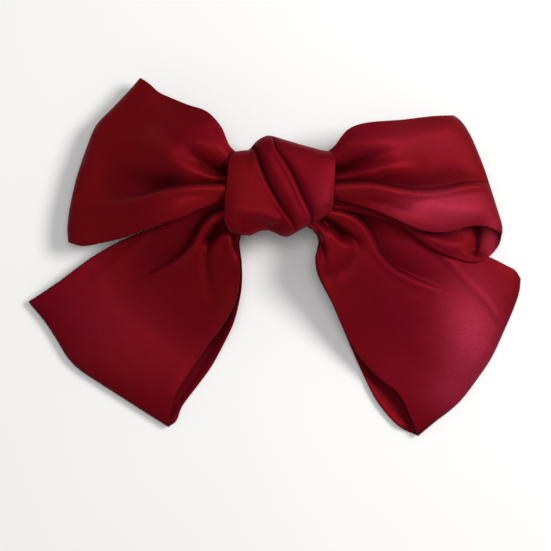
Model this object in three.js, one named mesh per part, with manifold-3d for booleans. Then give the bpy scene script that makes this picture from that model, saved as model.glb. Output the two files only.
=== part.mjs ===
// A satin hair bow on a spring barrette, lying on its back: the front faces +Z and the top of the
// bow points along +Y. Lengths are in millimetres, and the table it lies on is z = 0.
import * as THREE from 'three';
import { mergeVertices } from 'three/addons/utils/BufferGeometryUtils.js';
import Module from 'manifold-3d';

// ---- Driving dimensions: the fabric ----
const bowWidth = 196.8;
const bowHeight = 142.4;
const clothPly = 1.4; // a folded ply of satin where it lies open
const gatheredPly = 3.2; // the same ply bunched into pleats inside the knot
const upperBelly = 6.6; // half the space between the plies of an upper loop
const tailBelly = 4.4; // half the space between the plies of a tail
const loopEndHeight = 9.6; // the outer bend of a loop above the table
const tailEndHeight = 2.6; // the outer bend of a tail above the table

// ---- Driving dimensions: the knot ----
const knotCentre = { x: 1.8, y: 28 };
const knotWidth = 43.6;
const knotFrontWall = 5;
const knotBackWall = 1.6;
const knotSideWall = 4.5; // above and below the bands inside it
const knotEndRound = 1.6; // how far its outside rounds over towards both mouths
const knotMouthWall = 0.9;
const upperMouthInset = 4.2; // from the knot's top to the loops' upper edge, where it leaves the mouth
const tailMouthInset = 5.4; // from the knot's bottom to the tails' lower edge, where it leaves the mouth
const neckWidth = 13.4; // each band where the binding pinches it
const neckSpace = 1.6; // between the two pinched bands
const bindingWall = 0.8;
const bindingLength = 9;

// ---- Driving dimensions: the barrette ----
const plateLength = 80;
const plateWidth = 8;
const steel = 0.8;
const plateRise = 2; // the camber of the plate and the arm, which follow the head
const hairGap = 8.4; // between the plate and the closed arm
const armStand = 1.4; // the underside of the arm's ends above the table
const armInset = 0.2; // of each long side of the arm, inside the plate's
const hingeInset = 2.6; // of the hinge, from the plate's end
const hingeSideGap = 0.5; // between the arm and each ear
const earRadius = 2.1;
const barrelRadius = 1.8;
const leafWidth = 5;
const leafInset = 8; // of each end of the leaf, from the plate's end
const leafThickness = 0.4;
const leafEndSpace = 1.3; // between the leaf's ends and the plate
const leafBow = 2.2; // how much further the middle of the leaf stands off the plate
const pinRadius = 0.75;
const rivetRadius = 0.9;
const catchInset = 3.4; // of the catch, from the plate's end
const catchLength = 4; // of each prong, along the plate
const bracketInset = 0.7; // of each side of the catch's foot, inside the plate's
const bracketThickness = 0.6;
const bracketGap = 0.4; // between the catch's foot and the plate
const prongThickness = 0.6;
const prongSpread = 1.65; // from the middle of the catch to a prong's inner face
const barbReach = 0.85;
const wingReach = 2.9;
const windowSideGap = 0.4; // between a prong and the side of the arm's window
const windowEndGap = 0.5;
const windowRail = 1.2; // of the arm, past the end of its window
const lipLength = 4.2;
const lipDrop = 2;
const sewingHoleRadius = 0.9;
const sewingHoleInsets = [12, 22, 32]; // of the holes at each end, from the plate's end

// ---- Driving dimensions: felt, thread and clearances ----
const feltThickness = 1;
const feltWidth = 12;
const feltInset = 8; // of each end of the felt, from the plate's end
const threadRadius = 0.3;
const touch = 0.3; // the gap kept between pieces that lie against each other

// ---- Sizes that follow from them ----
const halfBand = neckWidth + neckSpace / 2;
const knotHeight = 2 * (halfBand + 3 * touch + bindingWall + knotSideWall);
const armWidth = plateWidth - 2 * armInset;
const armHingeWidth = plateWidth - 2 * (steel + hingeSideGap);
const leafLength = plateLength - 2 * leafInset;
const feltLength = plateLength - 2 * feltInset;
const sewingHoleEnds = sewingHoleInsets.map((inset) => plateLength / 2 - inset);
const sewingHoleSpots = [...sewingHoleEnds.map((x) => -x), ...sewingHoleEnds.reverse()];
const spare = 1; // what a plan cuts off a strip that was made too wide or too long

// ---- Heights that follow from the stack ----
const armTopAtEnds = armStand + steel;
const plateUnderAtEnds = armTopAtEnds + hairGap;
const plateTopAtEnds = plateUnderAtEnds + steel;
const feltTopMiddle = plateTopAtEnds + plateRise + touch + feltThickness;
const knotBack = feltTopMiddle + touch + 2 * threadRadius + touch;
const neckDepth = 2 * gatheredPly + clothPly / 2;
const neckHeight = knotBack + knotBackWall + touch + bindingWall + touch + neckDepth / 2;
const knotInnerDepth = neckDepth + 2 * (2 * touch + bindingWall);
const knotFront = knotBack + knotBackWall + knotInnerDepth + knotFrontWall;

const smooth = (low, high, value) => THREE.MathUtils.smoothstep(value, low, high);
const mix = THREE.MathUtils.lerp;

// ---- Materials ----
const satin = { color: 0x7a1122, roughness: 0.42, metalness: 0 };
const felt = { color: 0x2b0a10, roughness: 0.95, metalness: 0 };
const thread = { color: 0x5e0d1a, roughness: 0.7, metalness: 0 };
const plated = { color: 0xb9bdc3, roughness: 0.28, metalness: 1 };
const springSteel = { color: 0x9aa0a8, roughness: 0.35, metalness: 1 };

function piece(name, geometry, finish) {
  const mesh = new THREE.Mesh(geometry, new THREE.MeshStandardMaterial(finish));
  mesh.name = name;
  return mesh;
}

// ---- Booleans ----
const wasm = await Module();
wasm.setup();

function toManifold(source) {
  const bare = source.clone();
  bare.deleteAttribute('normal');
  bare.deleteAttribute('uv');
  const merged = mergeVertices(bare, 1e-4);
  const vertProperties = new Float32Array(merged.attributes.position.array);
  const triVerts = new Uint32Array(merged.index.array);
  return new wasm.Manifold(new wasm.Mesh({ numProp: 3, vertProperties, triVerts }));
}

function toGeometry(manifold) {
  const { vertProperties, triVerts } = manifold.getMesh();
  const geometry = new THREE.BufferGeometry();
  geometry.setAttribute('position', new THREE.BufferAttribute(new Float32Array(vertProperties), 3));
  geometry.setIndex(new THREE.BufferAttribute(new Uint32Array(triVerts), 1));
  geometry.computeVertexNormals();
  return geometry;
}

// ---- Shared shapes ----

// A closed ring of closed sections: point(i, j) goes round the ring with i and round a section with j.
function ringOfSections(ringCount, sectionCount, point) {
  const positions = [];
  const index = [];
  for (let i = 0; i < ringCount; i += 1) {
    for (let j = 0; j < sectionCount; j += 1) {
      positions.push(...point(i, j).toArray());
      const nextI = (i + 1) % ringCount;
      const nextJ = (j + 1) % sectionCount;
      const a = i * sectionCount + j;
      const b = nextI * sectionCount + j;
      const c = nextI * sectionCount + nextJ;
      const d = i * sectionCount + nextJ;
      index.push(a, b, c, a, c, d);
    }
  }
  const geometry = new THREE.BufferGeometry();
  geometry.setAttribute('position', new THREE.Float32BufferAttribute(positions, 3));
  geometry.setIndex(index);
  geometry.computeVertexNormals();
  return geometry;
}

// A side outline in X and Z, made as wide as asked along Y about the middle.
function acrossY(outline, width) {
  const shape = new THREE.Shape(outline.map(([x, z]) => new THREE.Vector2(x, z)));
  const geometry = new THREE.ExtrudeGeometry(shape, { depth: width, bevelEnabled: false });
  geometry.rotateX(Math.PI / 2);
  geometry.translate(0, width / 2, 0);
  return geometry;
}

// A plan outline in X and Y, made tall enough along Z to cut every strip of the barrette.
function upThrough(shape) {
  const reach = 4 * (plateUnderAtEnds + plateRise);
  const geometry = new THREE.ExtrudeGeometry(shape, { depth: reach, bevelEnabled: false, curveSegments: 8 });
  geometry.translate(0, 0, -reach / 4);
  return geometry;
}

// A strip with a straight run of each width, from x = start to x = end, with rounded corners.
function taperedPlan(start, startWidth, end, endWidth, corner) {
  const shape = new THREE.Shape();
  shape.moveTo(start, -startWidth / 2 + corner);
  shape.quadraticCurveTo(start, -startWidth / 2, start + corner, -startWidth / 2);
  shape.lineTo(end - corner, -endWidth / 2);
  shape.quadraticCurveTo(end, -endWidth / 2, end, -endWidth / 2 + corner);
  shape.lineTo(end, endWidth / 2 - corner);
  shape.quadraticCurveTo(end, endWidth / 2, end - corner, endWidth / 2);
  shape.lineTo(start + corner, startWidth / 2);
  shape.quadraticCurveTo(start, startWidth / 2, start, startWidth / 2 - corner);
  return shape;
}

function roundHole(x, y, radius) {
  return new THREE.Path().absarc(x, y, radius, 0, 2 * Math.PI, true);
}

// The camber shared by the plate, the arm and the felt: nothing at the plate's ends, most in the middle.
function camber(x) {
  return plateRise * (1 - (2 * x / plateLength) ** 2);
}

// The outline of a strip seen from the side, which lies on the curve height(x).
function stripOutline(start, end, height, thickness) {
  const steps = 14;
  const lower = [];
  const upper = [];
  for (let i = 0; i <= steps; i += 1) {
    const x = mix(start, end, i / steps);
    lower.push([x, height(x)]);
    upper.unshift([x, height(x) + thickness]);
  }
  return [...lower, ...upper];
}

// ---- The two fabric bands ----
// Each band is one endless strip of satin, pinched in the middle: a front ply and a back ply that turn into
// each other at the outer bend of each loop. A lobe is one half of it. Its outline points are shares of half
// the bow's width and height, and its first points follow the knot.


function spline(points) {
  return new THREE.CatmullRomCurve3(points.map(([x, y]) => new THREE.Vector3(x, y, 0)), false, 'centripetal');
}

function sized(shares) {
  return shares.map(([x, y]) => [x * bowWidth / 2, y * bowHeight / 2]);
}

// side is -1 on the left and 1 on the right; the offsets are heights above or below the knot's middle.
// Inside the knot an edge stays nearly straight over the binding, then fans out to the mouth.
function fromKnot(side, neckOffset, mouthOffset) {
  const { x, y } = knotCentre;
  const mouthX = side * knotWidth / 2;
  const fan = { along: 0.55, spread: 0.3 };
  return [
    [x, y + neckOffset],
    [x + mouthX * fan.along, y + mix(neckOffset, mouthOffset, fan.spread)],
    [x + mouthX, y + mouthOffset],
  ];
}

// How each band lies: half the space between its plies, the height of its outer bend above the table, and the
// shares of a lobe's length between which it comes down to the table.
const upperLie = { belly: upperBelly, endHeight: loopEndHeight, droopFrom: 0.44, droopTo: 0.96 };
const tailLie = { belly: tailBelly, endHeight: tailEndHeight, droopFrom: 0.16, droopTo: 0.72 };

// Where the edges of the bands pass the middle of the knot and its mouths, above or below its middle.
const neckSplit = neckSpace / 2 + touch;
const upperMouthTop = knotHeight / 2 - upperMouthInset;
const upperMouthLow = -1;
const tailMouthTop = -4;
const tailMouthLow = tailMouthInset - knotHeight / 2;

const lobes = {
  upperLeft: {
    top: [
      ...fromKnot(-1, halfBand, upperMouthTop),
      ...sized([[-0.24, 0.74], [-0.34, 0.85], [-0.44, 0.89], [-0.541, 1]]),
    ],
    bottom: [
      ...fromKnot(-1, neckSplit, upperMouthLow),
      ...sized([[-0.4, 0.23], [-0.54, 0.15], [-0.67, 0.1], [-0.817, 0.067]]),
    ],
    edge: sized([[-0.817, 0.067], [-0.833, 0.13], [-0.8, 0.38], [-0.73, 0.65], [-0.64, 0.85], [-0.541, 1]]),
  },
  upperRight: {
    top: [
      ...fromKnot(1, halfBand, upperMouthTop),
      ...sized([[0.3, 0.7], [0.36, 0.73], [0.53, 0.76], [0.73, 0.77]]),
    ],
    bottom: [
      ...fromKnot(1, neckSplit, upperMouthLow),
      ...sized([[0.51, 0.2], [0.67, 0.05], [0.76, 0.01], [0.86, 0.02]]),
    ],
    edge: sized([[0.86, 0.02], [0.9, 0.09], [0.912, 0.16], [0.885, 0.3], [0.83, 0.54], [0.73, 0.77]]),
  },
  tailLeft: {
    top: [
      ...fromKnot(-1, -neckSplit, tailMouthTop),
      ...sized([[-0.4, 0.17], [-0.61, 0.06], [-0.75, -0.02], [-0.993, -0.247]]),
    ],
    bottom: [
      ...fromKnot(-1, -halfBand, tailMouthLow),
      ...sized([[-0.2, 0], [-0.14, -0.11], [-0.18, -0.36], [-0.27, -0.6], [-0.38, -0.84], [-0.435, -0.95]]),
    ],
    edge: sized([[-0.435, -0.95], [-0.63, -0.77], [-0.83, -0.58], [-0.91, -0.4], [-0.993, -0.247]]),
  },
  tailRight: {
    top: [
      ...fromKnot(1, -neckSplit, tailMouthTop),
      ...sized([[0.51, 0.13], [0.66, -0.02], [0.82, -0.06], [0.995, -0.124]]),
    ],
    bottom: [
      ...fromKnot(1, -halfBand, tailMouthLow),
      ...sized([[0.24, 0.02], [0.19, -0.1], [0.24, -0.27], [0.31, -0.5], [0.43, -0.83], [0.581, -0.995]]),
    ],
    edge: sized([[0.581, -0.995], [0.74, -0.82], [0.87, -0.56], [0.95, -0.32], [0.995, -0.124]]),
  },
};

// The plan position of a lobe at the shares s, from the knot to the bend, and t, from its lower to its
// upper edge.
function planOf(lobe) {
  const top = spline(lobe.top);
  const bottom = spline(lobe.bottom);
  const edge = spline(lobe.edge);
  const neckLow = bottom.getPoint(0);
  const neckHigh = top.getPoint(0);
  return (s, t) => {
    const low = bottom.getPointAt(s);
    const high = top.getPointAt(s);
    const inner = neckLow.clone().lerp(neckHigh, t);
    const outer = edge.getPointAt(t);
    const ruled = low.clone().lerp(high, t).add(inner.clone().lerp(outer, s));
    const cornersLow = neckLow.clone().lerp(bottom.getPoint(1), s);
    const cornersHigh = neckHigh.clone().lerp(top.getPoint(1), s);
    return ruled.sub(cornersLow.lerp(cornersHigh, t));
  };
}

function bandGeometry(leftLobe, rightLobe, { belly, endHeight, droopFrom, droopTo }) {
  const alongPly = 18; // steps from the knot to the bend of a loop
  const acrossPly = 8;
  const ringCount = 4 * alongPly;
  const sectionCount = 2 * (acrossPly + 1);
  const plans = [planOf(leftLobe), planOf(rightLobe)];
  const neckSeparation = (gatheredPly + clothPly / 2) / 2;
  const bendSharpness = 8; // a higher power turns the bend later and rounder
  const opening = { from: 0.2, to: 0.62 }; // where the plies part, in shares of a lobe's length
  const gathers = { from: 0.15, to: 0.5 }; // where the pleats die away

  // The middle of the ply. around goes from 0 to 4: out along the left front, in along the left back, out
  // along the right back and in along the right front.
  const middle = (around, t) => {
    const turn = (around + 4) % 4;
    const onLeft = turn < 2;
    const half = onLeft ? turn : turn - 2;
    const s = Math.sin(half * Math.PI / 2);
    const front = onLeft ? half < 1 : half >= 1;
    const open = mix(neckSeparation, belly, smooth(opening.from, opening.to, s));
    const apart = open * Math.sqrt(Math.max(0, 1 - s ** bendSharpness));
    const lying = Math.max(endHeight, apart + clothPly / 2);
    const height = mix(neckHeight, lying, smooth(droopFrom, droopTo, s));
    const point = plans[onLeft ? 0 : 1](s, t);
    point.z = height + (front ? apart : -apart);
    return point;
  };

  const thickness = (around) => {
    const half = ((around + 4) % 4) % 2;
    return mix(gatheredPly, clothPly, smooth(gathers.from, gathers.to, Math.sin(half * Math.PI / 2)));
  };

  const nudge = 0.01;
  return ringOfSections(ringCount, sectionCount, (i, j) => {
    const around = 4 * i / ringCount;
    const outside = j <= acrossPly;
    const t = (outside ? j : sectionCount - 1 - j) / acrossPly;
    const along = middle(around + nudge, t).sub(middle(around - nudge, t));
    const across = middle(around, Math.min(1, t + nudge)).sub(middle(around, Math.max(0, t - nudge)));
    const normal = across.cross(along).normalize();
    const offset = (outside ? 1 : -1) * thickness(around) / 2;
    return middle(around, t).addScaledVector(normal, -offset);
  });
}

// ---- The knot and the binding inside it ----

// A rounded section in Y and Z: a power of 1 makes an ellipse, and a lower one fills out its corners.
function fullOval(angle, halfHeight, halfDepth, power) {
  const cos = Math.cos(angle);
  const sin = Math.sin(angle);
  const y = Math.sign(cos) * Math.abs(cos) ** power * halfHeight;
  const z = Math.sign(sin) * Math.abs(sin) ** power * halfDepth;
  return [y, z];
}

function knotGeometry() {
  const aroundCount = 40;
  const alongCount = 6; // steps along the knot, on its outside and again on its inside
  const outsidePower = 0.6;
  const insidePower = 0.2;
  const mouthRise = 0.4; // how far each mouth leaves the bands' height for the middle of the knot
  const mouthDeepening = 0.04;
  const outerHalfDepth = (knotFront - knotBack) / 2;
  const innerHalfDepth = knotInnerDepth / 2;
  const outerHeight = knotBack + outerHalfDepth;
  return ringOfSections(aroundCount, 2 * (alongCount + 1), (i, j) => {
    const angle = 2 * Math.PI * i / aroundCount;
    const outside = j <= alongCount;
    const share = (outside ? j : 2 * alongCount + 1 - j) / alongCount;
    const towardsEnd = Math.abs(2 * share - 1);
    const shrink = knotEndRound * towardsEnd ** 3;
    const [outerY, outerZ] = fullOval(angle, knotHeight / 2 - shrink, outerHalfDepth - shrink, outsidePower);
    const x = (share - 0.5) * (knotWidth - (outside ? 0 : 2 * touch));
    if (outside) return new THREE.Vector3(x, outerY, outerHeight + outerZ);
    const flare = towardsEnd ** 2;
    const mouthHalfHeight = knotHeight / 2 - knotEndRound - knotMouthWall;
    const innerHalfHeight = mix(knotHeight / 2 - knotSideWall, mouthHalfHeight, flare);
    const [innerY, innerZ] = fullOval(angle, innerHalfHeight, innerHalfDepth, insidePower);
    const mouthLift = flare * (outerHeight - neckHeight) * mouthRise;
    return new THREE.Vector3(x, innerY, neckHeight + mouthLift + innerZ * (1 + mouthDeepening * flare));
  });
}

function bindingGeometry() {
  const innerHalfHeight = halfBand + touch;
  const innerHalfDepth = neckDepth / 2 + touch;
  const corner = { outer: 1.2, inner: 0.4 };
  const ring = new THREE.Shape();
  const trace = (path, halfY, halfZ, round) => {
    path.moveTo(-halfY + round, -halfZ);
    path.lineTo(halfY - round, -halfZ);
    path.quadraticCurveTo(halfY, -halfZ, halfY, -halfZ + round);
    path.lineTo(halfY, halfZ - round);
    path.quadraticCurveTo(halfY, halfZ, halfY - round, halfZ);
    path.lineTo(-halfY + round, halfZ);
    path.quadraticCurveTo(-halfY, halfZ, -halfY, halfZ - round);
    path.lineTo(-halfY, -halfZ + round);
    path.quadraticCurveTo(-halfY, -halfZ, -halfY + round, -halfZ);
    return path;
  };
  trace(ring, innerHalfHeight + bindingWall, innerHalfDepth + bindingWall, corner.outer);
  ring.holes.push(trace(new THREE.Path(), innerHalfHeight, innerHalfDepth, corner.inner));
  const settings = { depth: bindingLength, bevelEnabled: false, curveSegments: 4 };
  const geometry = new THREE.ExtrudeGeometry(ring, settings);
  geometry.rotateY(Math.PI / 2);
  geometry.rotateX(Math.PI / 2);
  geometry.translate(-bindingLength / 2, 0, neckHeight);
  return geometry;
}

// ---- The barrette ----

const hingeX = plateLength / 2 - hingeInset;
const catchX = catchInset - plateLength / 2;
const pinHeight = armStand + barrelRadius;
const pinHole = pinRadius + touch;
const rivetHole = rivetRadius + touch;
const armUnder = (x) => armStand + camber(x);
const plateUnder = (x) => plateUnderAtEnds + camber(x);
const bracketTop = plateUnder(catchX) - bracketGap;

function basePlateGeometry() {
  const end = plateLength / 2;
  const corner = 2;
  const strip = toManifold(acrossY(stripOutline(-end, end, plateUnder, steel), plateWidth + spare));
  const plan = taperedPlan(-end, plateWidth, end, plateWidth, corner);
  sewingHoleSpots.forEach((x) => plan.holes.push(roundHole(x, 0, sewingHoleRadius)));
  plan.holes.push(roundHole(catchX, 0, rivetHole));
  let plate = strip.intersect(toManifold(upThrough(plan)));
  const ear = new THREE.Shape();
  const earTop = plateUnder(hingeX) + steel / 2;
  ear.moveTo(hingeX - earRadius, earTop);
  ear.lineTo(hingeX - earRadius, pinHeight);
  ear.absarc(hingeX, pinHeight, earRadius, Math.PI, 2 * Math.PI, false);
  ear.lineTo(hingeX + earRadius, earTop);
  ear.holes.push(roundHole(hingeX, pinHeight, pinHole));
  [-1, 1].forEach((side) => {
    const tab = new THREE.ExtrudeGeometry(ear, { depth: steel, bevelEnabled: false, curveSegments: 10 });
    tab.rotateX(Math.PI / 2);
    tab.translate(0, side * (plateWidth - steel) / 2 + steel / 2, 0);
    plate = plate.add(toManifold(tab));
  });
  return toGeometry(plate);
}

function claspArmGeometry() {
  const windowHalfWidth = prongSpread + prongThickness + windowSideGap;
  const windowHalfLength = catchLength / 2 + windowEndGap;
  const armEnd = catchX - windowHalfLength - windowRail;
  const intoBarrel = hingeX - 0.4;
  const lipRoot = armEnd + 0.5;
  const corner = 1.6;
  const outline = stripOutline(armEnd, intoBarrel, armUnder, steel);
  const lip = [
    [lipRoot, armUnder(armEnd)],
    [lipRoot, armUnder(armEnd) + steel],
    [armEnd - lipDrop, steel],
    [armEnd - lipDrop - lipLength, steel],
    [armEnd - lipDrop - lipLength, 0],
    [armEnd - lipDrop, 0],
  ].reverse();
  const rawWidth = armWidth + spare;
  const strip = toManifold(acrossY(outline, rawWidth)).add(toManifold(acrossY(lip, rawWidth)));
  const plan = taperedPlan(armEnd - lipDrop - lipLength, armWidth, hingeX + spare, armHingeWidth, corner);
  const gate = new THREE.Path();
  gate.moveTo(catchX - windowHalfLength, -windowHalfWidth);
  gate.lineTo(catchX - windowHalfLength, windowHalfWidth);
  gate.lineTo(catchX + windowHalfLength, windowHalfWidth);
  gate.lineTo(catchX + windowHalfLength, -windowHalfWidth);
  plan.holes.push(gate);
  const barrel = new THREE.CylinderGeometry(barrelRadius, barrelRadius, armHingeWidth, 20);
  const bore = new THREE.CylinderGeometry(pinHole, pinHole, armHingeWidth + 2 * spare, 20);
  barrel.translate(hingeX, 0, pinHeight);
  bore.translate(hingeX, 0, pinHeight);
  const flat = strip.intersect(toManifold(upThrough(plan)));
  return toGeometry(flat.add(toManifold(barrel)).subtract(toManifold(bore)));
}

function hingePinGeometry() {
  const headRadius = pinRadius + 0.7;
  const headHeight = 0.6;
  const headTop = 0.7 * headRadius; // the heads are a little domed
  const reach = plateWidth / 2 + touch;
  const profile = [
    [0, -reach - headHeight],
    [headTop, -reach - headHeight],
    [headRadius, -reach],
    [pinRadius, -reach],
    [pinRadius, reach],
    [headRadius, reach],
    [headTop, reach + headHeight],
    [0, reach + headHeight],
  ].map(([radius, along]) => new THREE.Vector2(radius, along));
  const geometry = new THREE.LatheGeometry(profile, 16);
  geometry.translate(hingeX, 0, pinHeight);
  return geometry;
}

function springLeafGeometry() {
  const halfLength = leafLength / 2;
  const corner = 1.8;
  const under = (x) => {
    const bow = leafBow * (1 - (x / halfLength) ** 2);
    return plateUnder(x) - leafEndSpace - bow - leafThickness;
  };
  const strip = acrossY(stripOutline(-halfLength, halfLength, under, leafThickness), leafWidth + spare);
  const plan = taperedPlan(-halfLength, leafWidth, halfLength, leafWidth, corner);
  return toGeometry(toManifold(strip).intersect(toManifold(upThrough(plan))));
}

function catchBracketGeometry() {
  const halfLength = catchLength / 2 + touch;
  const width = plateWidth - 2 * bracketInset;
  const corner = 0.8;
  const plan = taperedPlan(catchX - halfLength, width, catchX + halfLength, width, corner);
  plan.holes.push(roundHole(catchX, 0, rivetHole));
  const settings = { depth: bracketThickness, bevelEnabled: false, curveSegments: 6 };
  const geometry = new THREE.ExtrudeGeometry(plan, settings);
  geometry.translate(0, 0, bracketTop - bracketThickness);
  return geometry;
}

function catchRivetGeometry() {
  const headRadius = rivetHole + 0.6;
  const headHeight = 0.4;
  const headTop = 0.6 * headRadius;
  const footRadius = headRadius - 0.2; // the end spread under the bracket
  const top = plateUnder(catchX) + steel + touch;
  const bottom = bracketTop - bracketThickness - touch;
  const profile = [
    [0, bottom - headHeight],
    [footRadius - 0.2, bottom - headHeight],
    [footRadius, bottom],
    [rivetRadius, bottom],
    [rivetRadius, top],
    [headRadius, top],
    [headTop, top + headHeight],
    [0, top + headHeight],
  ].map(([radius, along]) => new THREE.Vector2(radius, along));
  const geometry = new THREE.LatheGeometry(profile, 16);
  geometry.rotateX(Math.PI / 2);
  geometry.translate(catchX, 0, 0);
  return geometry;
}

// A prong hangs from its bend at the bracket, passes the arm's window and hooks under its rail. The wing is
// what finger and thumb squeeze.
function catchProngGeometry(side) {
  const inner = prongSpread;
  const outer = prongSpread + prongThickness;
  const top = bracketTop - bracketThickness - touch;
  const barbTop = armUnder(catchX) - touch - 0.1;
  const barbEdge = 0.3; // its flat end, above the slope that parts the prongs
  const tip = 0.4;
  const tipSlope = 0.2;
  const wingPlace = 0.36; // of the way from the arm to the bend
  const wingLow = mix(armTopAtEnds, top, wingPlace);
  const wingRise = 0.8;
  const outline = [
    [inner, top],
    [inner, tip],
    [outer - tipSlope, tip],
    [outer + barbReach, barbTop - barbEdge],
    [outer + barbReach, barbTop],
    [outer, barbTop],
    [outer, wingLow],
    [outer + wingReach, wingLow + wingRise],
    [outer + wingReach, wingLow + wingRise + prongThickness],
    [outer, wingLow + prongThickness],
    [outer, top],
  ].map(([y, z]) => [side * y, z]);
  if (side < 0) outline.reverse();
  const shape = new THREE.Shape(outline.map(([y, z]) => new THREE.Vector2(y, z)));
  const geometry = new THREE.ExtrudeGeometry(shape, { depth: catchLength, bevelEnabled: false });
  geometry.rotateY(Math.PI / 2);
  geometry.rotateX(Math.PI / 2);
  geometry.translate(catchX - catchLength / 2, 0, 0);
  return geometry;
}

// ---- Felt and stitches ----

const feltUnder = (x) => plateTopAtEnds + camber(x) + touch;

function feltGeometry() {
  const end = feltLength / 2;
  const corner = 4;
  const strip = acrossY(stripOutline(-end, end, feltUnder, feltThickness), feltWidth + spare);
  const plan = taperedPlan(-end, feltWidth, end, feltWidth, corner);
  sewingHoleSpots.forEach((x) => plan.holes.push(roundHole(x, 0, sewingHoleRadius)));
  return toGeometry(toManifold(strip).intersect(toManifold(upThrough(plan))));
}

// A stitch goes up through a hole in the plate and the felt, over the felt to its edge, and back underneath.
function stitchGeometry(x, side) {
  const low = plateUnder(x) - touch - threadRadius;
  const high = feltUnder(x) + feltThickness + touch + threadRadius;
  const far = feltWidth / 2 + touch + threadRadius;
  const halfSpan = far / 2;
  const halfDrop = (high - low) / 2;
  const aroundCount = 24;
  const sectionCount = 8;
  const squareness = 1.5; // 1 makes the loop an oval, and more pulls it tight round its corners
  const clip = (value) => THREE.MathUtils.clamp(squareness * value, -1, 1);
  return ringOfSections(aroundCount, sectionCount, (i, j) => {
    const angle = 2 * Math.PI * i / aroundCount;
    const y = side * halfSpan + clip(Math.cos(angle)) * halfSpan;
    const z = (low + high) / 2 + clip(Math.sin(angle)) * halfDrop;
    const turn = 2 * Math.PI * j / sectionCount;
    const outward = new THREE.Vector3(0, clip(Math.cos(angle)), clip(Math.sin(angle))).normalize();
    const centre = new THREE.Vector3(x, y, z);
    centre.addScaledVector(outward, threadRadius * Math.cos(turn));
    centre.x += threadRadius * Math.sin(turn);
    return centre;
  });
}

// ---- Assembly ----

function fabric() {
  const group = new THREE.Group();
  const upper = bandGeometry(lobes.upperLeft, lobes.upperRight, upperLie);
  const tails = bandGeometry(lobes.tailLeft, lobes.tailRight, tailLie);
  group.add(piece('upper_loop_band', upper, satin));
  group.add(piece('tail_band', tails, satin));
  const knot = new THREE.Group();
  knot.position.set(knotCentre.x, knotCentre.y, 0);
  knot.add(piece('knot_wrap', knotGeometry(), satin));
  knot.add(piece('centre_binding', bindingGeometry(), thread));
  group.add(knot);
  return group;
}

function barrette() {
  const group = new THREE.Group();
  group.position.set(knotCentre.x, knotCentre.y, 0);
  group.add(piece('base_plate', basePlateGeometry(), plated));
  group.add(piece('clasp_arm', claspArmGeometry(), plated));
  group.add(piece('hinge_pin', hingePinGeometry(), springSteel));
  group.add(piece('spring_leaf', springLeafGeometry(), springSteel));
  group.add(piece('catch_bracket', catchBracketGeometry(), plated));
  group.add(piece('catch_rivet', catchRivetGeometry(), springSteel));
  group.add(piece('catch_prong_upper', catchProngGeometry(1), springSteel));
  group.add(piece('catch_prong_lower', catchProngGeometry(-1), springSteel));
  group.add(piece('felt_backing', feltGeometry(), felt));
  sewingHoleSpots.forEach((x, place) => {
    const side = place % 2 === 0 ? 1 : -1;
    group.add(piece(`clip_stitch_${place + 1}`, stitchGeometry(x, side), thread));
  });
  return group;
}

const group = new THREE.Group();
group.add(fabric(), barrette());

export default group;
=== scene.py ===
import math

import bmesh
import bpy
import numpy as np
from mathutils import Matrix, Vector
from mathutils.bvhtree import BVHTree


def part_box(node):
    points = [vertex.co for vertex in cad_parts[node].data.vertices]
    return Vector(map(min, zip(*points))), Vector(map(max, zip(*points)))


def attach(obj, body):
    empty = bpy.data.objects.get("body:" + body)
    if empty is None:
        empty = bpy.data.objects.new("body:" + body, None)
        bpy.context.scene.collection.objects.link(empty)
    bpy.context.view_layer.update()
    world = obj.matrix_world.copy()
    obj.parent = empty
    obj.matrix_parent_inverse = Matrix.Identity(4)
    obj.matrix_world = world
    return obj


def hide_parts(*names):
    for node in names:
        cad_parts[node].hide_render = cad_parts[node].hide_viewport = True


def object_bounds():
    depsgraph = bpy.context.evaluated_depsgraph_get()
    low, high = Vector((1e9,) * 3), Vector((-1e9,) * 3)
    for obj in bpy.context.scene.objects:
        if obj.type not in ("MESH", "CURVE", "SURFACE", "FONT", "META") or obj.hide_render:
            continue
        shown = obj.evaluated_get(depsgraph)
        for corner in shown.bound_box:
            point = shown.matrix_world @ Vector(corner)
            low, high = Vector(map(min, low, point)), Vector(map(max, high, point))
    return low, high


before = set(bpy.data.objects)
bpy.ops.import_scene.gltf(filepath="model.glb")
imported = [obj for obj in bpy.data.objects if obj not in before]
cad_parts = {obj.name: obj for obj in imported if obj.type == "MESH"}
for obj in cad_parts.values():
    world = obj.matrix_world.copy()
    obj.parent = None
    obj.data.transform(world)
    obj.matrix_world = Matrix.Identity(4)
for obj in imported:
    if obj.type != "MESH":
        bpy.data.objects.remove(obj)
cadLow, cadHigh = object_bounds()

bowWidth = 196.8  # the width that every outline below is drawn at
mm = (cadHigh[0] - cadLow[0]) / bowWidth  # metres for each millimetre of the drawing
knotLow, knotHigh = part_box("knot_wrap")
print("frame loaded, one drawn millimetre is", round(mm * 1000, 4), "mm")


cameraSetup = {"lens": 135, "sensor": 36, "clipStart": 0.01, "height": 0.8275, "aimX": 0.0001, "aimY": -0.007}
lightSetup = {
    "world": 0.24, "aim": (0, 0, 0.01),
    "keyPower": 7.6, "keySize": 0.42, "keySpot": (0.66, 0.24, 0.78), "keyTint": (1, 0.98, 0.96),
    "frontPower": 5.4, "frontSize": 0.6, "frontSpot": (0.0, 0.12, 1.3), "frontTint": (1, 1, 1),
}


def addCamera(setup):
    data = bpy.data.cameras.new("viewCamera")
    data.lens = setup["lens"]
    data.sensor_width = setup["sensor"]
    data.clip_start = setup["clipStart"]
    camera = bpy.data.objects.new("viewCamera", data)
    camera.location = (setup["aimX"], setup["aimY"], setup["height"])
    bpy.context.scene.collection.objects.link(camera)
    bpy.context.scene.camera = camera


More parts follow.
